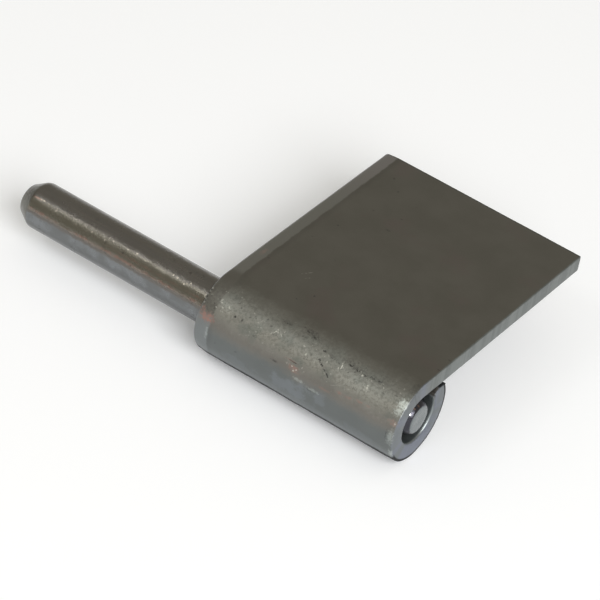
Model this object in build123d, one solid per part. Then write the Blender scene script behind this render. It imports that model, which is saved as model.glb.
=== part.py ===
from build123d import *
import os

# Weld-on barrel hinge, the half that carries the pin. A steel flat bar is rolled at one
# end into a barrel, and a round steel pin is driven through it and stands out at one side.
#
# Frame, in millimetres: the pin's axis is X and its free tip points to -X. The barrel's
# bearing face, which the other half of the hinge turns on, is at X = 0. The flat leaf runs
# out to +Y, and +Z points out of its outer face. The barrel hangs below that face.

# Round bar for the pin
pin_diameter = 15.875          # 5/8 inch
pin_standout = 76.2            # 3 inches, how far it stands out of the bearing face
pin_tip_diameter = 9.6         # small end of the taper that both ends have
pin_taper_length = 4.9
pin_edge_blend = 0.8           # soft edges of the taper

# Flat bar for the leaf
bar_width = 76.2               # 3 inches
bar_thickness = 6.35           # 1/4 inch
outer_edge_round = 1.5         # mill edges, on the side that becomes the outside
inner_edge_round = 1.0         # mill edges, on the side that lies against the pin
bevel_width = 4.2              # shallow bevel on the outer face, along the bearing side
bevel_drop = 0.5

# Forming
leaf_reach = 88.9              # 3 1/2 inches, pin axis to the leaf's free edge
bore_clearance = 0.35          # all round the plain bar of the pin, seen at both ends
grip_clearance = 0.02          # the same round the stretch that is raised to grip the bore
grip_lead = 0.4                # short taper at each end of the raised stretch
grip_end_inset = 9.0           # from the barrel's open end back to the raised stretch
roll_opening = 53              # degrees from the top of the barrel to the end of the roll
seam_gap = 0.75                # between the end of the roll and the leaf's underside
shear_round = 1.2              # all round the leaf's sheared free end
burr_break = 0.4               # sheared edges of the end of the roll

# Worked out from the sizes above
pin_radius = pin_diameter / 2
bore_radius = pin_radius + bore_clearance
grip_radius = bore_radius - grip_clearance
barrel_radius = bore_radius + bar_thickness
seam_level = bore_radius - seam_gap


def bar_section():
    """Section of the flat bar, standing on the bore with its outer face uppermost."""
    with BuildSketch(Plane.XZ) as section:
        with BuildLine():
            Polyline(
                (0, bore_radius),
                (bar_width, bore_radius),
                (bar_width, barrel_radius),
                (bevel_width, barrel_radius),
                (0, barrel_radius - bevel_drop),
                close=True,
            )
        make_face()
        bearing_side = vertices().group_by(Axis.X)[0].sort_by(Axis.Y)
        open_side = vertices().group_by(Axis.X)[-1].sort_by(Axis.Y)
        fillet([bearing_side[-1], open_side[-1]], outer_edge_round)
        fillet(vertices().group_by(Axis.Y)[0], inner_edge_round)
    return section.sketch


def rolled_leaf():
    """The flat leaf and the barrel that is rolled from the same bar, as one solid."""
    section = bar_section()
    leaf = extrude(section, amount=leaf_reach, dir=(0, 1, 0))
    barrel = revolve(section, axis=Axis.X, revolution_arc=360 - roll_opening)

    # The end of the roll is set flat, just short of the leaf's underside.
    above_seam = Pos(bar_width / 2, 0, seam_level) * Box(
        2 * bar_width,
        2 * barrel_radius,
        2 * barrel_radius,
        align=(Align.CENTER, Align.MIN, Align.MIN),
    )
    blank = leaf + (barrel - above_seam)

    # The sheared edges are dressed: the leaf's free end, then the end of the roll.
    free_end = blank.edges().filter_by(Axis.X).group_by(Axis.Y)[-1]
    blank = fillet(free_end, shear_round)
    roll_end = [
        edge
        for edge in blank.edges().filter_by(Axis.X)
        if 0 < edge.center().Z < bore_radius - seam_gap / 2 and edge.center().Y > 0
    ]
    return fillet(roll_end, burr_break)


def hinge_pin():
    """The pin: round bar, tapered alike at both ends, raised where the barrel grips it."""
    flush_end, free_end = bar_width, -pin_standout
    grip_end = flush_end - grip_end_inset
    tip_radius = pin_tip_diameter / 2
    with BuildPart() as pin:
        with BuildSketch(Plane.XY):
            with BuildLine():
                Polyline(
                    (free_end, 0),
                    (free_end, tip_radius),
                    (free_end + pin_taper_length, pin_radius),
                    (flush_end - pin_taper_length, pin_radius),
                    (flush_end, tip_radius),
                    (flush_end, 0),
                    close=True,
                )
            make_face()
            off_axis = [corner for corner in vertices() if corner.Y > 0]
            fillet(off_axis, pin_edge_blend)
            with BuildLine():
                Polyline(
                    (0, 0),
                    (0, pin_radius),
                    (grip_lead, grip_radius),
                    (grip_end - grip_lead, grip_radius),
                    (grip_end, pin_radius),
                    (grip_end, 0),
                    close=True,
                )
            make_face()
        revolve(axis=Axis.X)
    return pin.part


parts = {
    "rolled_leaf": rolled_leaf(),
    "hinge_pin": hinge_pin(),
}

os.makedirs("parts", exist_ok=True)
for name, part in parts.items():
    export_step(part, f"parts/{name}.step")
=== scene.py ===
from math import cos, pi, radians, sin

import bmesh
import bpy
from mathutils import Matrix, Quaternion, Vector


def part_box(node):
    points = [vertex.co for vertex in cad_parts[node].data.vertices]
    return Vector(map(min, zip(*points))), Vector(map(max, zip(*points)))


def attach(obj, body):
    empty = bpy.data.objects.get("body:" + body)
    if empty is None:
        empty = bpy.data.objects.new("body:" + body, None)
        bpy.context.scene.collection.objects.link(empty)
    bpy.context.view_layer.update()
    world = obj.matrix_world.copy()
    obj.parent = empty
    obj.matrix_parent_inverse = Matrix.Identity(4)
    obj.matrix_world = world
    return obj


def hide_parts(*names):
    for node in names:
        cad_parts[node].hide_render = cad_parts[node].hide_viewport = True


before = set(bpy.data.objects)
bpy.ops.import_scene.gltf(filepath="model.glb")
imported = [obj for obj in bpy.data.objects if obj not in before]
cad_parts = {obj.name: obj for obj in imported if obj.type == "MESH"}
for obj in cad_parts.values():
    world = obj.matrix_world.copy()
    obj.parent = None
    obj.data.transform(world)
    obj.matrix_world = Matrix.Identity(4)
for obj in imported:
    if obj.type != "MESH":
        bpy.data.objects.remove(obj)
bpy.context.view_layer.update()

leafLow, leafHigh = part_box("rolled_leaf")
pinLow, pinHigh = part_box("hinge_pin")
tiny = 0.00002                   # metres, for telling faces and edges apart by place
smoothBelow = radians(32)        # edges flatter than this are shaded smooth


# small helpers for working in edit mode

def startPiece(name, addPrimitive, **where):
    bpy.ops.object.select_all(action="DESELECT")
    addPrimitive(**where)
    piece = bpy.context.active_object
    piece.name = piece.data.name = name
    return piece


def settle():
    # puts the place, turn and size of the active piece into its mesh
    bpy.ops.object.transform_apply(location=True, rotation=True, scale=True)


def pick(kind, test):
    bpy.ops.mesh.select_mode(type=kind)
    bpy.ops.mesh.select_all(action="DESELECT")
    mesh = bmesh.from_edit_mesh(bpy.context.edit_object.data)
    layer = {"VERT": mesh.verts, "EDGE": mesh.edges, "FACE": mesh.faces}[kind]
    count = 0
    for part in layer:
        if test(part):
            part.select_set(True)
            count += 1
    bmesh.update_edit_mesh(bpy.context.edit_object.data)
    return count


def middle(edge):
    return (edge.verts[0].co + edge.verts[1].co) / 2


def cutAcross(axis, distances, test=None):
    # one bisect at each distance along the axis, all through what test picks
    normal = [0.0, 0.0, 0.0]
    normal[axis] = 1.0
    for distance in distances:
        if test:
            pick("FACE", test)
        else:
            bpy.ops.mesh.select_all(action="SELECT")
        bpy.ops.mesh.bisect(plane_co=[distance * share for share in normal], plane_no=normal)


def weld():
    # joins what the cuts left double and faces everything outward
    bpy.ops.mesh.select_all(action="SELECT")
    bpy.ops.mesh.remove_doubles(threshold=1e-6)
    bpy.ops.mesh.normals_make_consistent(inside=False)
    if bmesh.from_edit_mesh(bpy.context.edit_object.data).calc_volume(signed=True) < 0:
        bpy.ops.mesh.flip_normals()


def steps(start, end, size):
    count = max(1, round((end - start) / size))
    return [start + (end - start) * i / count for i in range(1, count)]


# camera

viewSettings = {
    "azimuth": 29.1,             # degrees round from the front of the barrel
    "elevation": 37.96,
    "roll": 10.48,
    "distance": 1.192,           # metres, from the aim point
    "aim": (0.01615, 0.02102, 0.0),
    "lens": 228.1,               # mm
    "sensor": 36,
}


def addCamera(s):
    azimuth, elevation = radians(s["azimuth"]), radians(s["elevation"])
    back = Vector((sin(azimuth) * cos(elevation), -cos(azimuth) * cos(elevation), sin(elevation)))
    lens = bpy.data.cameras.new("camera")
    lens.lens, lens.sensor_width = s["lens"], s["sensor"]
    camera = bpy.data.objects.new("camera", lens)
    bpy.context.scene.collection.objects.link(camera)
    camera.rotation_mode = "QUATERNION"
    level = (-back).to_track_quat("-Z", "Y")
    camera.rotation_quaternion = level @ Quaternion((0, 0, 1), radians(s["roll"]))
    camera.location = Vector(s["aim"]) + back * s["distance"]
    bpy.context.scene.camera = camera


addCamera(viewSettings)
print("camera set")


# the flat bar, rolled into a barrel at one end

leafShape = {
    "thickness": 0.00635,
    "bevelWidth": 0.0042,        # shallow bevel along the bearing side
    "bevelDrop": 0.0005,
    "bevelBlend": 0.0012,        # how softly the bevel meets the flat
    "outerRound": 0.0013,        # mill edges of the bearing side
    "openRound": 0.0005,         # crisper outer edge at the barrel's open end
    "innerRound": 0.001,
    "shearRound": 0.0007,        # the dressed free end
    "shearRoll": 0.0026,         # its lower edge, rolled over by the shear
    "shearFacets": 4,
    "rollOpening": 53,           # degrees from the top of the barrel to the end of the roll
    "seamGap": 0.00075,
    "burrBreak": 0.0004,
    "burrAngle": 25,             # degrees, edges sharper than this are broken
    "burrFrom": 0.003,           # and higher than this above the pin's axis
    "rollSteps": 102,
    "gridSize": 0.00085,         # size of the mesh's quads
    "rollingMarks": (0.0065, 0.00022),    # size and depth of the hollows on the barrel
    "plateWaves": (0.022, 0.00010),       # and of those all over
    "marksLevel": 0.008,         # the rolling marks are at full depth below this height
    "marksEnd": 0.012,           # and have died out by here along the leaf
}


def buildRolledLeaf(s):
    width, reach, outer = leafHigh.x, leafHigh.y, leafHigh.z
    bore = outer - s["thickness"]
    leaf = startPiece("rolledLeafSteel", bpy.ops.mesh.primitive_plane_add, size=1,
                      location=(width / 2, 0, (outer + bore) / 2), rotation=(radians(90), 0, 0))
    leaf.scale = (width, s["thickness"], 1)
    settle()
    bpy.ops.object.mode_set(mode="EDIT")

    # section of the bar: the bevel first, then its four mill edges
    bpy.ops.mesh.bisect(plane_co=(s["bevelWidth"], 0, 0), plane_no=(1, 0, 0))
    pick("VERT", lambda v: v.co.x < tiny and v.co.z > outer - tiny)
    bpy.ops.transform.translate(value=(0, 0, -s["bevelDrop"]))
    pick("VERT", lambda v: abs(v.co.x - s["bevelWidth"]) < tiny and v.co.z > outer - tiny)
    bpy.ops.mesh.bevel(offset=s["bevelBlend"], segments=3, affect="VERTICES")
    pick("VERT", lambda v: v.co.x < tiny and v.co.z > outer - s["bevelDrop"] - tiny)
    bpy.ops.mesh.bevel(offset=s["outerRound"], segments=5, affect="VERTICES")
    pick("VERT", lambda v: v.co.x > width - tiny and v.co.z > outer - tiny)
    bpy.ops.mesh.bevel(offset=s["openRound"], segments=4, affect="VERTICES")
    pick("VERT", lambda v: (v.co.x < tiny or v.co.x > width - tiny) and v.co.z < bore + tiny)
    bpy.ops.mesh.bevel(offset=s["innerRound"], segments=4, affect="VERTICES")

    # the straight leaf, with its sheared end dressed all round
    bpy.ops.mesh.select_all(action="SELECT")
    bpy.ops.mesh.dissolve_faces()
    bpy.ops.mesh.extrude_region_move(TRANSFORM_OT_translate={"value": (0, reach, 0)})
    pick("EDGE", lambda e: min(v.co.y for v in e.verts) > reach - tiny
         and any(abs(f.normal.y) < 0.5 for f in e.link_faces))
    bpy.ops.mesh.bevel(offset=s["shearRound"], segments=4, affect="EDGES")

    # its lower edge rolled over in small facets
    centre = Vector((0, reach - s["shearRoll"], bore + s["shearRoll"]))
    for facet in range(1, s["shearFacets"] + 1):
        turn = radians(90 * facet / (s["shearFacets"] + 1))
        away = Vector((0, cos(turn), -sin(turn)))
        bpy.ops.mesh.select_all(action="SELECT")
        bpy.ops.mesh.bisect(plane_co=centre + away * s["shearRoll"], plane_no=away, clear_outer=True)
        bpy.ops.mesh.select_all(action="SELECT")
        bpy.ops.mesh.fill_holes(sides=0)

    # the barrel, turned down and round from the same section
    pick("FACE", lambda f: max(abs(v.co.y) for v in f.verts) < tiny)
    bpy.ops.mesh.spin(steps=s["rollSteps"], angle=radians(360 - s["rollOpening"]),
                      center=(0, 0, 0), axis=(-1, 0, 0))

    # the end of the roll is set flat under the leaf, and its burr is broken
    def inRollEnd(point):
        return point.y > 0 and point.z > 0 and point.yz.length < outer + tiny

    pick("FACE", lambda f: inRollEnd(f.calc_center_median()))
    bpy.ops.mesh.bisect(plane_co=(0, 0, bore - s["seamGap"]), plane_no=(0, 0, 1),
                        use_fill=True, clear_outer=True)
    pick("EDGE", lambda e: inRollEnd(middle(e)) and s["burrFrom"] < middle(e).z < bore - tiny
         and len(e.link_faces) == 2 and e.calc_face_angle() > radians(s["burrAngle"]))
    bpy.ops.mesh.bevel(offset=s["burrBreak"], segments=2, affect="EDGES")

    # a fine grid, so that the surface can be uneven
    cutAcross(1, steps(0, reach - s["shearRound"], s["gridSize"]),
              lambda f: max(v.co.y for v in f.verts) > outer + tiny)
    cutAcross(0, steps(s["outerRound"], width - s["openRound"], s["gridSize"]))
    weld()
    bpy.ops.object.mode_set(mode="OBJECT")
    return leaf


def markBarrel(piece, name, s):
    # weight for the rolled end alone, easing off along the leaf
    group = piece.vertex_groups.new(name=name)
    for vertex in piece.data.vertices:
        weight = 1.0
        if vertex.co.z > s["marksLevel"]:
            weight = min(1.0, max(0.0, 1 - vertex.co.y / s["marksEnd"]))
        if weight:
            group.add([vertex.index], weight, "REPLACE")


def unevenSurface(piece, name, size, depth, group=""):
    # soft hollows, never proud of the true surface
    hollows = bpy.data.textures.new(name, "CLOUDS")
    hollows.noise_scale, hollows.noise_depth = size, 1
    modifier = piece.modifiers.new(name, "DISPLACE")
    modifier.texture, modifier.texture_coords = hollows, "LOCAL"
    modifier.mid_level, modifier.strength = 1.0, depth
    modifier.vertex_group = group
    bpy.context.view_layer.objects.active = piece
    bpy.ops.object.modifier_apply(modifier=name)


leaf = buildRolledLeaf(leafShape)
markBarrel(leaf, "barrel", leafShape)
unevenSurface(leaf, "rollingMarks", *leafShape["rollingMarks"], "barrel")
unevenSurface(leaf, "plateWaves", *leafShape["plateWaves"])
bpy.ops.object.shade_smooth_by_angle(angle=smoothBelow)
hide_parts("rolled_leaf")
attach(leaf, "root")
print("leaf built")

# the pin

pinShape = {
    "radius": 0.0079375,
    "tipRadius": 0.0048,
    "taper": 0.0049,
    "edgeBlend": 0.0008,
    "gripLead": 0.0004,
    "gripInset": 0.009,          # from the barrel's open end to the raised stretch
    "sawnRings": (0.0012, 0.0012, 0.001),
    "sawnDish": 0.00008,
    "sides": 128,
    "gridSize": 0.0009,
    "hiddenGridSize": 0.004,     # inside the barrel
    "hiddenGridInset": 0.001,
    "drawingMarks": (0.004, 0.00005),     # size and depth of the hollows
}


def buildPin(s):
    start, end = pinLow.x, pinHigh.x
    straight = end - start - 2 * s["taper"]
    pin = startPiece("pinSteel", bpy.ops.mesh.primitive_cylinder_add, vertices=s["sides"],
                     radius=s["radius"], depth=straight, rotation=(0, radians(90), 0))
    settle()
    bpy.ops.object.mode_set(mode="EDIT")

    # the taper at both ends
    for side in (-1, 1):
        pick("FACE", lambda f: f.normal.x * side > 0.9)
        bpy.ops.mesh.extrude_region_move(TRANSFORM_OT_translate={"value": (side * s["taper"], 0, 0)})
        shrink = s["tipRadius"] / s["radius"]
        bpy.ops.transform.resize(value=(1, shrink, shrink), center_override=(0, 0, 0))
    pick("EDGE", lambda e: abs(e.verts[0].co.x - e.verts[1].co.x) < tiny
         and abs(middle(e).x) > straight / 2 - tiny)
    bpy.ops.mesh.bevel(offset=s["edgeBlend"], segments=4, affect="EDGES")

    # the sawn end faces, slightly dished towards the middle
    for side in (-1, 1):
        pick("FACE", lambda f: f.normal.x * side > 0.9 and abs(f.calc_center_median().x) > end - tiny)
        for ring in s["sawnRings"]:
            bpy.ops.mesh.inset(thickness=ring)
        bpy.ops.transform.translate(value=(-side * s["sawnDish"], 0, 0))

    # the raised stretch that the barrel grips
    gripEnd = end - s["gripInset"]
    cutAcross(0, (0, s["gripLead"], gripEnd - s["gripLead"], gripEnd))
    pick("VERT", lambda v: s["gripLead"] - tiny < v.co.x < gripEnd - s["gripLead"] + tiny)
    raised = pinHigh.z / s["radius"]
    bpy.ops.transform.resize(value=(1, raised, raised), center_override=(0, 0, 0))

    cutAcross(0, steps(start + s["taper"] + s["edgeBlend"], 0, s["gridSize"]))
    cutAcross(0, steps(s["hiddenGridInset"], gripEnd - s["hiddenGridInset"], s["hiddenGridSize"]))
    weld()
    bpy.ops.object.mode_set(mode="OBJECT")
    return pin


pin = buildPin(pinShape)
unevenSurface(pin, "drawingMarks", *pinShape["drawingMarks"])
bpy.ops.object.shade_smooth_by_angle(angle=smoothBelow)
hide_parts("hinge_pin")
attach(pin, "root")
print("pin built")


# small helpers for materials

def feed(tree, node, values):
    # links or sets the node's inputs
    for name, value in dict(values).items():
        if isinstance(value, bpy.types.NodeSocket):
            tree.links.new(value, node.inputs[name])
        else:
            node.inputs[name].default_value = value
    return node


def put(tree, kind, values=(), **settings):
    node = tree.nodes.new("ShaderNode" + kind)
    for name, value in settings.items():
        setattr(node, name, value)
    return feed(tree, node, values)


def calc(tree, operation, *values):
    return put(tree, "Math", enumerate(values), operation=operation).outputs[0]


def aim(tree, operation, *values):
    # vector sums; a length or a dot product comes out of the second socket
    node = put(tree, "VectorMath", enumerate(values), operation=operation)
    return node.outputs[1 if operation in ("LENGTH", "DOT_PRODUCT", "DISTANCE") else 0]


def fade(tree, value, start, end, low=0.0, high=1.0):
    return put(tree, "MapRange", {0: value, 1: start, 2: end, 3: low, 4: high},
               interpolation_type="SMOOTHSTEP").outputs[0]


def times(tree, first, *others):
    for other in others:
        first = calc(tree, "MULTIPLY", first, other)
    return first


def total(tree, first, *others):
    for other in others:
        first = calc(tree, "ADD", first, other)
    return first


def most(tree, first, *others):
    for other in others:
        first = calc(tree, "MAXIMUM", first, other)
    return first


def swing(tree, value, size):
    # a noise value as a swing to both sides of nothing
    return times(tree, calc(tree, "SUBTRACT", value, 0.5), size)


def band(tree, value, rise, fall):
    # rises and falls again, each from one value to another
    return times(tree, fade(tree, value, *rise), fade(tree, value, *fall))


def tint(tree, share, under, over):
    return put(tree, "Mix", {0: share, 6: under, 7: over}, data_type="RGBA").outputs[2]


def noise(tree, where, scale, detail=3.0, roughness=0.55):
    return put(tree, "TexNoise", {"Vector": where, "Scale": scale, "Detail": detail,
                                  "Roughness": roughness}).outputs["Fac"]


def newGroup(name, inputs, outputs):
    tree = bpy.data.node_groups.new(name, "ShaderNodeTree")
    for label, kind, start in inputs:
        socket = tree.interface.new_socket(label, in_out="INPUT", socket_type="NodeSocket" + kind)
        socket.default_value = start
    for label, kind in outputs:
        tree.interface.new_socket(label, in_out="OUTPUT", socket_type="NodeSocket" + kind)
    return tree, tree.nodes.new("NodeGroupInput").outputs, tree.nodes.new("NodeGroupOutput").inputs


def place(tree, group, values=()):
    node = tree.nodes.new("ShaderNodeGroup")
    node.node_tree = group
    return feed(tree, node, values).outputs


# effects that the steels share

def makeUnrolled():
    # place on the bar as if it were flat: along the barrel, then round it or out along the leaf
    tree, given, result = newGroup(
        "unrolledBar",
        [("Place", "Vector", (0, 0, 0)), ("Radius", "Float", 0.01)],
        [("Sheet", "Vector"), ("Angle", "Float")])
    part = put(tree, "SeparateXYZ", {0: given["Place"]}).outputs
    front = calc(tree, "MULTIPLY", part[1], -1.0)
    turn = calc(tree, "ARCTAN2", front, part[2])
    inFront = calc(tree, "LESS_THAN", part[1], 0.0)
    below = calc(tree, "LESS_THAN", part[2], 0.0)
    onBarrel = calc(tree, "MAXIMUM", inFront, below)
    wrapped = total(tree, turn, times(tree, calc(tree, "LESS_THAN", turn, -pi / 2), 2 * pi))
    arc = calc(tree, "MULTIPLY", wrapped, given["Radius"])
    across = put(tree, "Mix", {0: onBarrel, 2: front, 3: arc}).outputs[0]
    sheet = put(tree, "CombineXYZ", {0: part[0], 1: across, 2: 0.0}).outputs[0]
    tree.links.new(sheet, result["Sheet"])
    tree.links.new(calc(tree, "MULTIPLY", wrapped, 180 / pi), result["Angle"])
    return tree


def makeMottle():
    # slow patches and a fine grain
    tree, given, result = newGroup(
        "scaleMottle",
        [("Place", "Vector", (0, 0, 0)), ("Patches", "Float", 90.0), ("Grain", "Float", 1500.0)],
        [("Patches", "Float"), ("Grain", "Float")])
    tree.links.new(noise(tree, given["Place"], given["Patches"], 4.0, 0.6), result["Patches"])
    tree.links.new(noise(tree, given["Place"], given["Grain"], 2.0, 0.6), result["Grain"])
    return tree


def makeFlecks():
    # sparse ragged specks, a share of the cells of a random net
    tree, given, result = newGroup(
        "flecks",
        [("Place", "Vector", (0, 0, 0)), ("Per Metre", "Float", 500.0), ("Share", "Float", 0.2),
         ("Size", "Float", 0.25)],
        [("Mask", "Float")])
    wobble = put(tree, "TexNoise", {"Vector": given["Place"], "Scale": 2200.0, "Detail": 2.0})
    wobble = aim(tree, "SUBTRACT", wobble.outputs["Color"], (0.5, 0.5, 0.5))
    bent = aim(tree, "ADD", given["Place"], aim(tree, "MULTIPLY", wobble, (0.0012, 0.0012, 0.0)))
    cells = put(tree, "TexVoronoi", {"Vector": bent, "Scale": given["Per Metre"]}).outputs
    chance = put(tree, "SeparateColor", {0: cells["Color"]}).outputs
    size = calc(tree, "MULTIPLY", given["Size"], calc(tree, "ADD", 0.4, chance[1]))
    inside = calc(tree, "LESS_THAN", chance[0], given["Share"])
    near = fade(tree, cells["Distance"], size, times(tree, size, 0.5))
    tree.links.new(times(tree, inside, near), result["Mask"])
    return tree


def makeSpot():
    # one oval mark at its own place; what comes in at Ragged eats into its edge
    tree, given, result = newGroup(
        "spot",
        [("Place", "Vector", (0, 0, 0)), ("Centre", "Vector", (0, 0, 0)),
         ("Reach", "Vector", (0.002, 0.001, 1)), ("Turn", "Float", 0.0), ("Ragged", "Float", 0.0)],
        [("Mask", "Float")])
    off = aim(tree, "SUBTRACT", given["Place"], given["Centre"])
    turned = put(tree, "VectorRotate", {"Vector": off, "Angle": given["Turn"]}, rotation_type="Z_AXIS")
    far = aim(tree, "LENGTH", aim(tree, "DIVIDE", turned.outputs[0], given["Reach"]))
    tree.links.new(fade(tree, calc(tree, "ADD", far, given["Ragged"]), 1.15, 0.35), result["Mask"])
    return tree


def makeEdgeRub():
    # worn lighter near the ends and the free side of a piece
    tree, given, result = newGroup(
        "edgeRub",
        [("Place", "Vector", (0, 0, 0)), ("Low", "Vector", (0, 0, 0)), ("High", "Vector", (1, 1, 1)),
         ("Width", "Float", 0.001), ("Ragged", "Float", 0.0006)],
        [("Mask", "Float")])
    fromLow = put(tree, "SeparateXYZ", {0: aim(tree, "SUBTRACT", given["Place"], given["Low"])}).outputs
    toHigh = put(tree, "SeparateXYZ", {0: aim(tree, "SUBTRACT", given["High"], given["Place"])}).outputs
    near = calc(tree, "MINIMUM", calc(tree, "MINIMUM", fromLow[0], toHigh[0]), toHigh[1])
    edge = swing(tree, noise(tree, given["Place"], 420.0, 4.0, 0.7), given["Ragged"])
    gap = total(tree, near, edge)
    tree.links.new(fade(tree, gap, given["Width"], times(tree, given["Width"], 0.3)), result["Mask"])
    return tree


def makeDrawnGrain():
    # fine lines along the bar
    tree, given, result = newGroup(
        "drawnGrain",
        [("Place", "Vector", (0, 0, 0)), ("Across", "Float", 1500.0), ("Along", "Float", 25.0)],
        [("Lines", "Float")])
    stretch = put(tree, "CombineXYZ", {0: given["Along"], 1: given["Across"], 2: given["Across"]})
    stretched = aim(tree, "MULTIPLY", given["Place"], stretch.outputs[0])
    tree.links.new(noise(tree, stretched, 1.0, 3.0, 0.6), result["Lines"])
    return tree


unrolledBar = makeUnrolled()
scaleMottle = makeMottle()
flecks = makeFlecks()
spot = makeSpot()
edgeRub = makeEdgeRub()
drawnGrain = makeDrawnGrain()
print("shared effects made")


def newMaterial(name):
    made = bpy.data.materials.new(name)
    made.use_nodes = True
    tree = made.node_tree
    shader = tree.nodes["Principled BSDF"]
    where = tree.nodes.new("ShaderNodeTexCoord").outputs["Object"]
    return made, tree, shader, where


# the leaf's steel: mill scale, cracked off lighter round the roll

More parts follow.
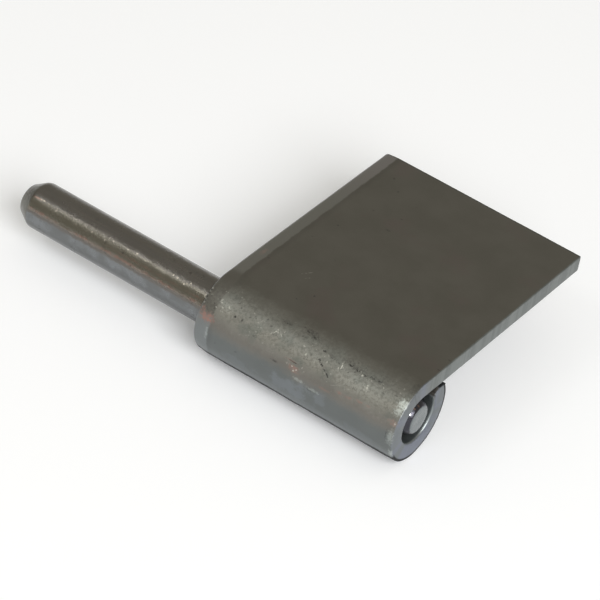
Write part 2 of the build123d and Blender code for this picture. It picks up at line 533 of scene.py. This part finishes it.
leafSteel = {
    "scale": (0.154, 0.149, 0.130, 1),
    "scaleLight": (0.170, 0.164, 0.144, 1),
    "scaleRed": (0.172, 0.150, 0.138, 1),
    "bare": (0.282, 0.286, 0.258, 1),
    "bareWarmHighlight": (0.358, 0.354, 0.320, 1),
    "bareBrownReflection": (0.205, 0.194, 0.174, 1),
    "bareGreen": (0.262, 0.278, 0.254, 1),
    "coolReflection": (0.160, 0.172, 0.169, 1),
    "coolBlueReflection": (0.204, 0.221, 0.233, 1),
    "coolLowReflection": (0.194, 0.209, 0.210, 1),
    "cut": (0.176, 0.190, 0.186, 1),
    "cutLight": (0.216, 0.232, 0.226, 1),
    "cutCool": (0.206, 0.223, 0.266, 1),
    "cutGrey": (0.197, 0.213, 0.222, 1),
    "bevel": (0.243, 0.244, 0.226, 1),
    "bevelFar": (0.292, 0.280, 0.278, 1),
    "bevelScale": (0.172, 0.166, 0.148, 1),
    "bevelCoolReflection": (0.225, 0.240, 0.242, 1),
    "dark": (0.055, 0.055, 0.052, 1),
    "bore": (0.310, 0.345, 0.350, 1),
    "seamShade": (0.012, 0.014, 0.015, 1),
    "underside": (0.026, 0.027, 0.028, 1),
    "brightAndGlint": (0.66, 0.66, 0.60, 1),
    "rust": (0.345, 0.212, 0.178, 1),
    "paleAndHighlight": (0.72, 0.77, 0.73, 1),
    # degrees round the barrel between which each finish or painted band of highlight, reflection or shade
    # comes in or goes out
    "bareFrom": (-4.0, 44.0),
    "bareTo": (225.0, 200.0),
    "warmHighlightFrom": (41.0, 50.0),
    "brownReflectionFrom": (54.0, 73.0),
    "coolReflectionFrom": (69.0, 87.0),
    "coolLowReflectionFrom": (105.0, 117.0),
    "bevelScaleFrom": (-16.0, -4.0),
    "bevelCoolReflectionFrom": (58.0, 70.0),
    "brokenFrom": (10.0, 30.0),
    "brokenTo": (74.0, 52.0),
    "rimFrom": (116.0, 128.0),
    "beneathFrom": (121.5, 125.0),
    "beneathTo": (180.0, 135.0),
    # the same in metres: along the barrel, out along the leaf, and in from an edge of the piece
    "bevelTo": (0.0053, 0.0046),
    "brinkFrom": (0.0046, 0.0053),
    "brinkTo": (0.0075, 0.0055),
    "bevelFarFrom": (0.050, 0.085),
    "barrelTo": (0.004, -0.002),
    "behindFrom": (0.001, 0.004),
    "seamFrom": (-0.001, 0.003),
    "seamTo": (0.0155, 0.0135),
    "skinIn": (0.0010, 0.0005),
    "rimIn": (0.0014, 0.0009),
    "rimEndIn": (0.0010, 0.0005),
    "farLineIn": (0.0011, 0.0005),
    "farLineTopIn": (0.0012, 0.0006),
    # scale, detail and roughness
    "coarse": (260.0, 5.0, 0.68),
    "fine": (900.0, 3.0, 0.7),
    "ragged": (1100.0, 3.0, 0.7),
    "reddish": (45.0, 3.0),
    "greenish": (110.0, 3.0),
    "mottle": {"Patches": 70.0, "Grain": 1400.0},
    "pits": {"Per Metre": 950.0, "Share": 0.34, "Size": 0.36},
    "sparse": {"Per Metre": 330.0, "Share": 0.07, "Size": 0.12},
    "chips": {"Per Metre": 1100.0, "Share": 0.30, "Size": 0.34},
    "rubWidth": 0.0007,
    "rubRagged": 0.0005,
    # each mark: mm along the barrel, degrees round it, half length and half width in mm, turn, strength
    "gouges": [
        (45.2, 47.5, 1.5, 0.40, 25, 1.0), (48.0, 54.5, 1.8, 0.38, 30, 0.9), (44.0, 44.0, 0.8, 0.4, 20, 0.8),
        (53.6, 31.0, 1.4, 0.55, 5, 1.0), (56.5, 32.5, 1.6, 0.60, 14, 1.0), (59.0, 33.5, 0.8, 0.4, 0, 0.8),
        (61.5, 31.5, 1.5, 0.45, 4, 0.9), (64.4, 30.5, 1.1, 0.45, -4, 0.8), (52.6, 27.5, 0.5, 0.5, 0, 0.6),
        (44.0, 31.8, 1.2, 0.35, 4, 0.9), (47.0, 34.0, 1.4, 0.32, 14, 0.8), (50.0, 36.0, 0.7, 0.3, 20, 0.6),
        (36.0, 20.0, 1.6, 0.55, 12, 0.7), (38.6, 23.0, 1.0, 0.6, 0, 0.8), (34.0, 17.0, 0.8, 0.4, 0, 0.5),
        (28.2, 24.0, 1.6, 0.30, 2, 0.7), (12.7, 49.0, 0.55, 0.6, 0, 0.9), (15.2, 49.0, 0.45, 0.7, 0, 0.8),
        (30.3, 72.8, 1.3, 0.45, 0, 0.7), (36.2, 61.8, 2.0, 0.25, 2, 0.8), (44.5, 84.0, 2.0, 0.3, 0, 0.45),
        (18.5, 36.5, 0.35, 0.9, 10, 0.5), (20.8, 58.0, 0.5, 0.35, 0, 0.5), (40.6, 43.5, 0.5, 0.7, -15, 0.6),
        (17.0, 90.0, 0.7, 0.35, -20, 0.5), (67.0, 41.0, 0.9, 0.3, 10, 0.5), (71.0, 36.0, 0.9, 0.3, -8, 0.5),
        (73.3, 84.0, 0.22, 2.1, 0, 0.6), (0.8, 33.7, 0.5, 0.25, 0, 0.9), (0.8, 38.6, 0.5, 0.25, 0, 0.9),
        (0.8, 44.0, 0.5, 0.3, 0, 0.9), (0.8, 49.7, 0.5, 0.25, 0, 0.8), (75.2, -31.0, 0.7, 0.3, 0, 0.5),
        (75.0, -55.0, 0.5, 0.35, 0, 0.4), (75.2, -80.0, 0.6, 0.3, 0, 0.4), (24.0, -17.5, 0.35, 0.3, 0, 0.5),
        (6.0, -57.0, 0.5, 0.3, 0, 0.4),
        (37.5, 20.0, 3.6, 1.4, 8, 0.45), (56.0, 31.5, 5.0, 1.4, 4, 0.42), (64.5, 31.0, 4.5, 1.1, 0, 0.38),
        (47.0, 33.0, 4.0, 0.9, 8, 0.32), (28.0, 23.0, 2.8, 0.9, 0, 0.32), (47.0, 50.5, 3.4, 1.0, 25, 0.30),
        (14.0, 49.0, 2.4, 1.2, 0, 0.30), (24.0, 38.0, 2.2, 1.6, 0, 0.22), (33.5, 45.0, 1.4, 1.0, -30, 0.28),
        (74.8, 18.0, 1.7, 3.6, 0, 0.30), (24.5, -211.0, 0.9, 0.5, 0, 0.4), (11.8, -174.0, 0.4, 0.5, 0, 0.45),
        (10.4, -306.0, 0.5, 0.8, 0, 0.4),
    ],
    "brightMarksAndGlints": [
        (26.4, 42.5, 1.3, 0.26, -52, 1.0), (27.4, 38.5, 0.9, 0.24, 62, 1.0),
        (29.0, 41.0, 0.8, 0.22, 35, 0.8), (51.2, 37.0, 1.5, 0.24, 82, 1.0),
        (50.6, 41.5, 0.5, 0.2, 60, 0.8), (39.1, 46.0, 0.6, 0.30, 90, 0.8),
        (61.9, 46.0, 1.3, 0.26, 72, 1.0), (61.2, 49.0, 0.5, 0.2, 40, 0.7),
        (58.4, 34.8, 0.45, 0.4, 0, 1.0), (47.5, 54.5, 0.5, 0.3, 30, 0.7), (6.2, 41.0, 0.8, 0.4, 70, 0.8),
        (9.5, 43.0, 0.6, 0.35, 50, 0.7), (7.5, 47.0, 0.5, 0.3, 20, 0.7),
        (10.6, 49.0, 0.5, 0.25, -30, 0.6), (5.4, 50.0, 0.4, 0.4, 0, 0.6), (0.9, 31.0, 0.45, 0.35, 0, 0.9),
        (0.8, 36.0, 0.45, 0.3, 0, 1.0), (0.9, 41.0, 0.5, 0.35, 0, 1.0), (0.8, 47.0, 0.45, 0.3, 0, 0.8),
        (0.9, 52.0, 0.4, 0.3, 0, 0.7), (75.2, 66.3, 0.45, 0.4, 0, 1.0), (36.8, 67.5, 0.5, 0.25, 40, 0.8),
        (38.4, 69.5, 0.45, 0.25, -30, 0.9), (37.6, 71.5, 0.3, 0.3, 0, 0.8),
        (19.3, -69.0, 1.9, 0.14, -55, 0.35), (20.6, -60.0, 1.2, 0.12, -50, 0.3),
        (22.0, 54.0, 2.2, 0.13, -28, 0.30), (24.6, 50.5, 1.8, 0.13, -30, 0.32),
        (19.5, 60.5, 1.6, 0.12, -27, 0.25), (52.0, 62.0, 2.0, 0.13, -25, 0.28),
        (56.5, 58.0, 1.5, 0.12, -28, 0.28), (33.0, 56.0, 1.3, 0.12, -24, 0.25),
    ],
    "rusty": [
        (3.9, 66.5, 3.2, 1.8, 0, 0.95), (1.8, 60.0, 0.8, 1.4, 0, 0.7), (37.6, 69.0, 2.2, 1.1, 10, 0.65),
        (35.8, 61.5, 2.2, 0.4, 0, 0.5), (54.5, 67.0, 1.2, 0.5, 0, 0.5), (58.0, 66.5, 1.3, 0.5, -5, 0.5),
        (61.5, 64.5, 1.4, 0.5, 0, 0.5), (65.0, 63.5, 1.0, 0.4, 0, 0.45), (74.4, 65.5, 2.0, 1.1, 0, 0.45),
        (3.0, -64.0, 0.9, 2.0, 0, 0.35), (49.0, 73.0, 2.4, 0.4, 0, 0.35),
    ],
    "paleAndHighlightPatches": [
        (74.7, 42.0, 2.0, 2.3, 0, 0.85), (74.5, 51.0, 1.6, 1.6, 0, 0.6), (40.0, 79.5, 2.6, 0.6, 0, 0.22),
        (46.0, 82.0, 2.6, 0.6, 0, 0.22), (75.0, 86.0, 1.4, 3.4, 0, 0.28), (5.4, 86.0, 0.5, 2.6, 0, 0.2),
        (8.0, 43.0, 3.2, 1.8, 0, 0.12), (75.6, 113.0, 0.8, 2.4, 0, 0.35),
        (61.0, 48.0, 12.0, 3.0, 0, 0.11), (40.0, 46.0, 9.0, 2.0, 0, 0.05),
    ],
    "bluishReflectionPatches": [
        (38.0, 98.0, 9.0, 4.4, 0, 1.0), (49.0, 90.0, 2.5, 3.0, 10, 0.7), (18.0, 106.0, 7.0, 2.0, 0, 0.5),
        (64.0, 108.0, 7.0, 1.8, 0, 0.5),
    ],
}


def addMarks(tree, sheet, marks, ragged, radius):
    # the strongest of several marks; degrees round the barrel become metres along the sheet
    strongest = 0.0
    for along, degreesRound, half, wide, turn, strength in marks:
        centre = (along / 1000, radians(degreesRound) * radius, 0)
        mask = place(tree, spot, {"Place": sheet, "Centre": centre, "Reach": (half / 1000, wide / 1000, 1),
                                  "Turn": radians(-turn), "Ragged": ragged})[0]
        strongest = most(tree, strongest, times(tree, mask, strength))
    return strongest


def inFrom(edge, gaps):
    # the places at two distances in from an edge
    return edge - gaps[0], edge - gaps[1]


def makeLeafSteel(s):
    made, tree, shader, where = newMaterial("millSteel")
    radius, bore = leafHigh.z, leafHigh.z - leafShape["thickness"]
    sheet, angle = place(tree, unrolledBar, {"Place": where, "Radius": radius}).values()
    along, out, up = put(tree, "SeparateXYZ", {0: where}).outputs
    patches, grain = place(tree, scaleMottle, {"Place": sheet, **s["mottle"]}).values()
    coarse = noise(tree, sheet, *s["coarse"])
    fine = noise(tree, sheet, *s["fine"])
    ragged = swing(tree, noise(tree, sheet, *s["ragged"]), 3.0)
    fromAxis = aim(tree, "LENGTH", put(tree, "CombineXYZ", {0: 0.0, 1: out, 2: up}).outputs[0])
    skin = fade(tree, fromAxis, *inFrom(radius, s["skinIn"]))

    colour = tint(tree, fade(tree, patches, 0.3, 0.7), s["scale"], s["scaleLight"])
    reddish = fade(tree, noise(tree, sheet, *s["reddish"]), 0.55, 0.72, 0.0, 0.6)
    colour = tint(tree, reddish, colour, s["scaleRed"])

    # the scale has cracked off where the bar was bent hardest; on the barrel the bare colour also carries
    # painted highlight and painted reflection bands
    bent = total(tree, angle, swing(tree, coarse, 34.0), swing(tree, fine, 16.0))
    # painted highlight: a lighter warm band round the barrel, where the lamp's sheen falls
    bareAndReflectionColour = tint(tree, fade(tree, angle, *s["warmHighlightFrom"]), s["bare"], s["bareWarmHighlight"])
    greenish = fade(tree, noise(tree, sheet, *s["greenish"]), 0.48, 0.62, 0.0, 0.7)
    bareAndReflectionColour = tint(tree, greenish, bareAndReflectionColour, s["bareGreen"])
    # painted reflection: brown further round the barrel, from the warm surroundings
    reflectionBandAngle = total(tree, angle, swing(tree, patches, 16.0), swing(tree, fine, 14.0))
    bareAndReflectionColour = tint(tree, fade(tree, reflectionBandAngle, *s["brownReflectionFrom"]), bareAndReflectionColour, s["bareBrownReflection"])
    colour = tint(tree, band(tree, bent, s["bareFrom"], s["bareTo"]), colour, bareAndReflectionColour)
    # painted reflection of the pale floor: cool blue-grey lower round the barrel with bluish patches,
    # lighter near its underside
    bluishReflectionPatches = addMarks(tree, sheet, s["bluishReflectionPatches"], swing(tree, coarse, 4.0), radius)
    coolReflectionColour = tint(tree, times(tree, bluishReflectionPatches, 0.8), s["coolReflection"], s["coolBlueReflection"])
    colour = tint(tree, fade(tree, reflectionBandAngle, *s["coolReflectionFrom"]), colour, coolReflectionColour)
    colour = tint(tree, fade(tree, angle, *s["coolLowReflectionFrom"]), colour, s["coolLowReflection"])

    # bevel along the bearing side, rubbed lighter
    onBarrel = most(tree, fade(tree, out, *s["barrelTo"]), fade(tree, up, bore + 0.0002, bore - 0.0004))
    bevelEdge = total(tree, along, swing(tree, coarse, 0.0016), times(tree, onBarrel, -0.0009))
    bevelColour = tint(tree, fade(tree, out, *s["bevelFarFrom"]), s["bevel"], s["bevelFar"])
    bevelColour = tint(tree, fade(tree, angle, *s["bevelScaleFrom"]), bevelColour, s["bevelScale"])
    # painted reflection: the bevel turns cool blue-grey lower round the barrel
    bevelColour = tint(tree, fade(tree, angle, *s["bevelCoolReflectionFrom"]), bevelColour, s["bevelCoolReflection"])
    colour = tint(tree, times(tree, fade(tree, bevelEdge, *s["bevelTo"]), 0.8), colour, bevelColour)
    brink = band(tree, bevelEdge, s["brinkFrom"], s["brinkTo"])

    # ends of the bar, sheared and bare
    rub = place(tree, edgeRub, {"Place": where, "Low": (0, -1, 0), "High": (leafHigh.x, leafHigh.y, 1),
                                "Width": s["rubWidth"], "Ragged": s["rubRagged"]})[0]
    cut = tint(tree, fade(tree, coarse, 0.42, 0.58), s["cut"], s["cutLight"])
    ring = tint(tree, fade(tree, patches, 0.42, 0.58), s["cutCool"], s["cutGrey"])
    colour = tint(tree, rub, colour, tint(tree, onBarrel, cut, ring))

    # rust, and pale places: some rubbed to the metal, others painted highlight at the barrel's open-end rim
    # and along its lit band
    rust = times(tree, addMarks(tree, sheet, s["rusty"], ragged, radius), skin,
                 fade(tree, fine, 0.36, 0.56, 0.5, 1.0))
    colour = tint(tree, rust, colour, s["rust"])
    paleAndHighlight = times(tree, addMarks(tree, sheet, s["paleAndHighlightPatches"], ragged, radius), skin,
                 fade(tree, fine, 0.38, 0.54, 0.55, 1.0))
    colour = tint(tree, paleAndHighlight, colour, s["paleAndHighlight"])

    # pits and gouges where the scale has broken
    breaking = times(tree, band(tree, bent, s["brokenFrom"], s["brokenTo"]), skin)
    crazed = times(tree, fade(tree, fine, 0.54, 0.40, 0.0, 0.25), breaking)
    pits = place(tree, flecks, {"Place": sheet, **s["pits"]})[0]
    pits = times(tree, pits, breaking, fade(tree, coarse, 0.42, 0.60, 0.05, 0.60))
    sparse = place(tree, flecks, {"Place": sheet, **s["sparse"]})[0]
    gouges = times(tree, addMarks(tree, sheet, s["gouges"], ragged, radius),
                   fade(tree, grain, 0.40, 0.52, 0.35, 1.0))
    hollow = most(tree, pits, gouges, times(tree, sparse, 0.45))
    colour = tint(tree, most(tree, hollow, crazed, times(tree, brink, 0.14)), colour, s["dark"])

    # painted shade: a dark line along the rounded free end
    farEdgeShade = times(tree, fade(tree, out, *inFrom(leafHigh.y, s["farLineIn"]), 0.0, 0.8),
                    fade(tree, up, *inFrom(radius, s["farLineTopIn"])))
    colour = tint(tree, farEdgeShade, colour, s["underside"])

    # bright chips and scratches, and painted glints along the left end's rim and in the rust
    chips = place(tree, flecks, {"Place": aim(tree, "ADD", sheet, (0.3, 0.2, 0.0)), **s["chips"]})[0]
    chips = times(tree, chips, breaking, fade(tree, coarse, 0.58, 0.42, 0.1, 0.5))
    brightMarksAndGlints = times(tree, addMarks(tree, sheet, s["brightMarksAndGlints"], ragged, radius),
                   fade(tree, grain, 0.40, 0.52, 0.1, 1.0))
    raised = most(tree, chips, brightMarksAndGlints)
    colour = tint(tree, raised, colour, s["brightAndGlint"])

    # painted light inside the bore, where its wall is given a lighter colour; painted shade over the seam
    # and under the barrel
    inBore = fade(tree, fromAxis, bore + 0.0005, bore + 0.0001)
    colour = tint(tree, inBore, colour, s["bore"])
    # painted shade in the gap between the roll's end and the leaf, and on the lip beside it
    lip = times(tree, fade(tree, fromAxis, bore + 0.0012, bore + 0.0007), fade(tree, up, 0.0035, 0.006),
                fade(tree, up, bore - 0.0001, bore - 0.0004))
    gap = band(tree, up, (bore + 0.0004, bore - 0.0001), (bore - 0.0017, bore - 0.0011))
    shadeOverSeam = times(tree, most(tree, gap, lip), band(tree, out, s["seamFrom"], s["seamTo"]))
    colour = tint(tree, shadeOverSeam, colour, s["seamShade"])
    # painted shade under the barrel, and a dark band along the lower and back rims of its ends
    low = fade(tree, total(tree, angle, swing(tree, fine, 5.0)), *s["beneathFrom"])
    shadeBeneath = times(tree, low, fade(tree, angle, *s["beneathTo"]), skin)
    behind = times(tree, fade(tree, out, *s["behindFrom"]), fade(tree, up, bore, bore - 0.0005))
    rimShade = times(tree, most(tree, fade(tree, angle, *s["rimFrom"]), behind),
                fade(tree, fromAxis, *inFrom(radius, s["rimIn"])),
                fade(tree, along, *inFrom(leafHigh.x, s["rimEndIn"])))
    shadeBeneath = most(tree, shadeBeneath, rimShade)
    colour = tint(tree, shadeBeneath, colour, s["underside"])

    height = total(tree, times(tree, grain, 0.3), times(tree, coarse, 0.6), times(tree, fine, breaking, 0.6),
                   times(tree, hollow, -0.9), times(tree, raised, 0.6))
    bump = put(tree, "Bump", {"Strength": 0.6, "Distance": 0.0001, "Height": height}).outputs[0]
    dull = most(tree, rust, paleAndHighlight, shadeBeneath, shadeOverSeam)
    rough = total(tree, fade(tree, patches, 0.25, 0.75, 0.40, 0.50), times(tree, dull, 0.25))
    metal = total(tree, 0.96, times(tree, most(tree, shadeBeneath, shadeOverSeam), -0.9), times(tree, rust, -0.4))
    feed(tree, shader, {"Base Color": colour, "Metallic": metal, "Roughness": rough, "Normal": bump,
                        "Specular IOR Level": 0.15})
    return made


# the pin's steel: drawn bar, smoother than the leaf

pinSteel = {
    "drawn": (0.172, 0.165, 0.153, 1),
    "drawnLight": (0.192, 0.180, 0.162, 1),
    "oliveReflection": (0.204, 0.193, 0.161, 1),
    "coolReflection": (0.168, 0.174, 0.174, 1),
    "coolBlueReflection": (0.212, 0.222, 0.228, 1),
    "coolUndersideShade": (0.120, 0.124, 0.124, 1),
    "brownReflection": (0.160, 0.150, 0.137, 1),
    "dark": (0.070, 0.064, 0.060, 1),
    "reflectionLine": (0.245, 0.210, 0.182, 1),
    "lineAndRustRed": (0.278, 0.195, 0.162, 1),
    "sawn": (0.225, 0.245, 0.250, 1),
    # the tapers' colours are painted darker, standing in for their dark reflection
    "turned": (0.060, 0.060, 0.072, 1),
    "tip": (0.150, 0.147, 0.132, 1),
    "paleAndHighlight": (0.52, 0.48, 0.42, 1),
    "brightAndGlint": (1, 1, 1, 1),
    # degrees round the pin between which each painted band of reflection or highlight comes in or goes out
    "oliveReflectionFrom": (32.0, 46.0),
    "brownReflectionFrom": (66.0, 72.0),
    "coolReflectionFrom": (75.0, 81.0),
    "coolUndersideShadeFrom": (93.0, 118.0),
    "reflectionLineFrom": (61.0, 66.0),
    "reflectionLineTo": (73.0, 67.0),
    "secondLineFrom": (50.0, 54.0),
    "secondLineTo": (59.0, 55.0),
    "glintsFrom": (30.0, 36.0),
    "glintsTo": (50.0, 44.0),
    # the same in metres: along the pin, and in from its ends
    "secondLineAlong": (-0.045, -0.030),
    "backEndFrom": (-0.01, 0.01),
    "taperIn": (0.0002, -0.0004),
    "sawnIn": (0.0004, 0.0001),
    "coarse": (500.0, 4.0, 0.7),     # scale, detail and roughness
    "mottle": {"Patches": 130.0, "Grain": 1500.0},
    "lines": {"Across": 1500.0, "Along": 60.0},
    "glints": {"Per Metre": 1100.0, "Share": 0.34, "Size": 0.36},
    "specks": {"Per Metre": 700.0, "Share": 0.20, "Size": 0.34},
    # each mark: mm along the pin, degrees round it, half length and half width in mm, turn, strength
    "brightMarksAndGlints": [(74.6, 47.0, 0.55, 0.50, 0, 1.0)],
    "pinkBits": [
        (74.9, 24.0, 0.5, 0.5, 20, 0.9), (75.2, 6.0, 0.5, 0.6, 0, 0.9), (-69.4, 37.5, 2.2, 0.35, 0, 0.8),
    ],
}


def makePinSteel(s):
    made, tree, shader, where = newMaterial("drawnSteel")
    radius, end, taper = pinHigh.z, pinHigh.x, pinShape["taper"]
    sheet, angle = place(tree, unrolledBar, {"Place": where, "Radius": radius}).values()
    along = put(tree, "SeparateXYZ", {0: where}).outputs[0]
    fromMiddle = calc(tree, "ABSOLUTE", along)
    patches, grain = place(tree, scaleMottle, {"Place": where, **s["mottle"]}).values()
    lines = place(tree, drawnGrain, {"Place": where, **s["lines"]})[0]
    coarse = noise(tree, where, *s["coarse"])
    turned = total(tree, angle, swing(tree, coarse, 12.0))

    colour = tint(tree, fade(tree, lines, 0.35, 0.7), s["drawn"], s["drawnLight"])
    # painted reflection bands round the pin: olive in the middle, then brown, then cool blue-grey from the
    # floor below; painted shade further under
    colour = tint(tree, fade(tree, turned, *s["oliveReflectionFrom"]), colour, s["oliveReflection"])
    colour = tint(tree, fade(tree, turned, *s["brownReflectionFrom"]), colour, s["brownReflection"])
    coolReflectionColour = tint(tree, fade(tree, patches, 0.4, 0.6), s["coolReflection"], s["coolBlueReflection"])
    colour = tint(tree, fade(tree, turned, *s["coolReflectionFrom"]), colour, coolReflectionColour)
    colour = tint(tree, fade(tree, turned, *s["coolUndersideShadeFrom"]), colour, s["coolUndersideShade"])

    # a thin pinkish painted reflection line runs the length of the pin, with a second beside it
    secondLine = times(tree, band(tree, turned, s["secondLineFrom"], s["secondLineTo"]),
                   fade(tree, along, *s["secondLineAlong"], 0.0, 0.6))
    reflectionLine = most(tree, band(tree, turned, s["reflectionLineFrom"], s["reflectionLineTo"]), secondLine)
    onShank = fade(tree, along, pinLow.x + taper * 0.6, pinLow.x + taper * 1.6)
    reflectionLine = times(tree, reflectionLine, fade(tree, patches, 0.36, 0.58, 0.30, 1.0), onShank)
    reflectionLineColour = tint(tree, fade(tree, coarse, 0.42, 0.60), s["reflectionLine"], s["lineAndRustRed"])
    colour = tint(tree, reflectionLine, colour, reflectionLineColour)

    # glints in the light's line, and dark specks
    glints = place(tree, flecks, {"Place": where, **s["glints"]})[0]
    glints = times(tree, glints, band(tree, turned, s["glintsFrom"], s["glintsTo"]), 0.85)
    colour = tint(tree, glints, colour, s["paleAndHighlight"])
    specks = place(tree, flecks, {"Place": aim(tree, "ADD", where, (0.4, 0.1, 0.2)), **s["specks"]})[0]
    specks = times(tree, specks, fade(tree, patches, 0.40, 0.60, 0.05, 0.55))
    colour = tint(tree, specks, colour, s["dark"])

    # turned tapers, painted darker for their dark reflection, and sawn ends
    endColour = tint(tree, fade(tree, along, *s["backEndFrom"]), s["tip"], s["turned"])
    colour = tint(tree, fade(tree, fromMiddle, *inFrom(end - taper, s["taperIn"])), colour, endColour)
    pinkBits = addMarks(tree, sheet, s["pinkBits"], swing(tree, coarse, 2.0), radius)
    colour = tint(tree, pinkBits, colour, s["lineAndRustRed"])
    # painted glint: a white dot on the open end's taper
    colour = tint(tree, addMarks(tree, sheet, s["brightMarksAndGlints"], 0.0, radius), colour, s["brightAndGlint"])
    colour = tint(tree, fade(tree, fromMiddle, *inFrom(end, s["sawnIn"])), colour, s["sawn"])

    height = total(tree, times(tree, lines, 0.4), times(tree, grain, 0.35), times(tree, coarse, 1.2))
    bump = put(tree, "Bump", {"Strength": 0.9, "Distance": 0.0001, "Height": height}).outputs[0]
    rough = fade(tree, patches, 0.3, 0.7, 0.20, 0.30)
    feed(tree, shader, {"Base Color": colour, "Metallic": 0.97, "Roughness": rough, "Normal": bump})
    return made


leaf.data.materials.clear()
leaf.data.materials.append(makeLeafSteel(leafSteel))
pin.data.materials.clear()
pin.data.materials.append(makePinSteel(pinSteel))
print("steels made")


# floor, sky and lamps

studio = {
    "floorSize": 8.0,
    "floorColour": (0.89, 0.905, 0.93, 1),
    "floorRoughness": 0.9,
    "floorGlow": 0.17,           # only what the camera and polished steel see of the floor
    "horizon": (0.86, 0.87, 0.88, 1),
    "wall": (0.42, 0.40, 0.35, 1),
    "ceiling": (0.46, 0.44, 0.40, 1),
    "wallFrom": (0.06, 0.16),    # heights in the sky, 1 is straight up
    "ceilingFrom": (0.6, 0.95),
    # direction to the lamp, distance, width and depth in metres, light that reaches the part
    "lamps": {
        "windowLamp": ((0.68, -0.48, 0.60), 2.6, 1.5, 1.5, 2.7),
        "stripLamp": ((-0.383, -0.472, 0.794), 1.5, 0.7, 0.10, 0.17),
    },
}


def buildStudio(s):
    bpy.ops.object.select_all(action="DESELECT")
    bpy.ops.mesh.primitive_plane_add(size=s["floorSize"], location=(0, 0, leafLow.z))
    floor = bpy.context.active_object
    settle()
    floor.name = floor.data.name = "floor"
    paint = bpy.data.materials.new("floorPaint")
    paint.use_nodes = True
    shader = paint.node_tree.nodes["Principled BSDF"]
    ray = paint.node_tree.nodes.new("ShaderNodeLightPath").outputs
    seen = most(paint.node_tree, ray["Is Camera Ray"], ray["Is Glossy Ray"], ray["Is Transmission Ray"])
    glow = times(paint.node_tree, seen, s["floorGlow"])
    feed(paint.node_tree, shader, {"Base Color": s["floorColour"], "Roughness": s["floorRoughness"],
                                   "Specular IOR Level": 0.0, "Emission Color": s["floorColour"],
                                   "Emission Strength": glow})
    floor.data.materials.append(paint)

    sky = bpy.data.worlds.new("softSky")
    sky.use_nodes = True
    bpy.context.scene.world = sky
    tree = sky.node_tree
    towards = tree.nodes.new("ShaderNodeTexCoord").outputs["Generated"]
    up = put(tree, "SeparateXYZ", {0: towards}).outputs[2]
    colour = tint(tree, fade(tree, up, *s["wallFrom"]), s["horizon"], s["wall"])
    colour = tint(tree, fade(tree, up, *s["ceilingFrom"]), colour, s["ceiling"])
    tree.links.new(colour, tree.nodes["Background"].inputs["Color"])

    for name, (towards, distance, wide, deep, light) in s["lamps"].items():
        towards = Vector(towards).normalized()
        lamp = bpy.data.lights.new(name, "AREA")
        lamp.shape, lamp.size, lamp.size_y = "RECTANGLE", wide, deep
        lamp.energy = light * pi * distance ** 2
        holder = bpy.data.objects.new(name, lamp)
        holder.location = towards * distance
        holder.rotation_euler = towards.to_track_quat("Z", "Y").to_euler()
        bpy.context.scene.collection.objects.link(holder)


buildStudio(studio)
print("studio lit")
bpy.context.scene.view_settings.view_transform = "Standard"
